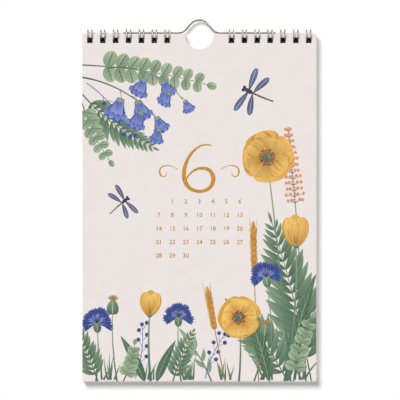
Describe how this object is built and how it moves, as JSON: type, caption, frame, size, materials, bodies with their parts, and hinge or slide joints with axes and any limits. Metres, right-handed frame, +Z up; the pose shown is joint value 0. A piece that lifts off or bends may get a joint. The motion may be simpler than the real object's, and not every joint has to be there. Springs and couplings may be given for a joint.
{
  "type": "wall calendar",
  "caption": "Small wire-bound wall calendar with a thumb cut and a bent wire hanger; the front leaf lifts about its loops and the pad swings on the hanger.",
  "frame": {"origin": "the hanging point: the underside of the crown of the hanger's hump, in the hanger's plane, where a nail carries the calendar", "axes": "+X to the viewer's right, +Y away from the viewer into the wall, +Z up; the printed front faces -Y"},
  "size_m": [0.1538, 0.0086, 0.2382],
  "materials": {
    "hanger_wire": "bright drawn wire",
    "loop_wire": "satin coated wire",
    "leaf_paper": "uncoated, warm pale pink, printed",
    "block_paper": "uncoated, cut edges",
    "board": "uncoated grey board",
    "turned_paper": "uncoated, plain backs"
  },
  "bodies": {
    "hanger": {"hanger": "hanger_wire"},
    "pad": {"loop_wires": "loop_wire", "leaf_block": "block_paper", "backing_board": "board", "turned_leaves": "turned_paper"},
    "front_leaf": {"front_leaf": "leaf_paper"}
  },
  "joints": [
    {"name": "pad_swing", "type": "hinge", "parent": "hanger", "child": "pad", "pos_m": [0, 0, -0.008], "axis": [1, 0, 0], "range_deg": [-90, 90]},
    {"name": "leaf_lift", "type": "hinge", "parent": "pad", "child": "front_leaf", "pos_m": [0, -0.00158, -0.00948], "axis": [-1, 0, 0], "range_deg": [0, 90]}
  ]
}
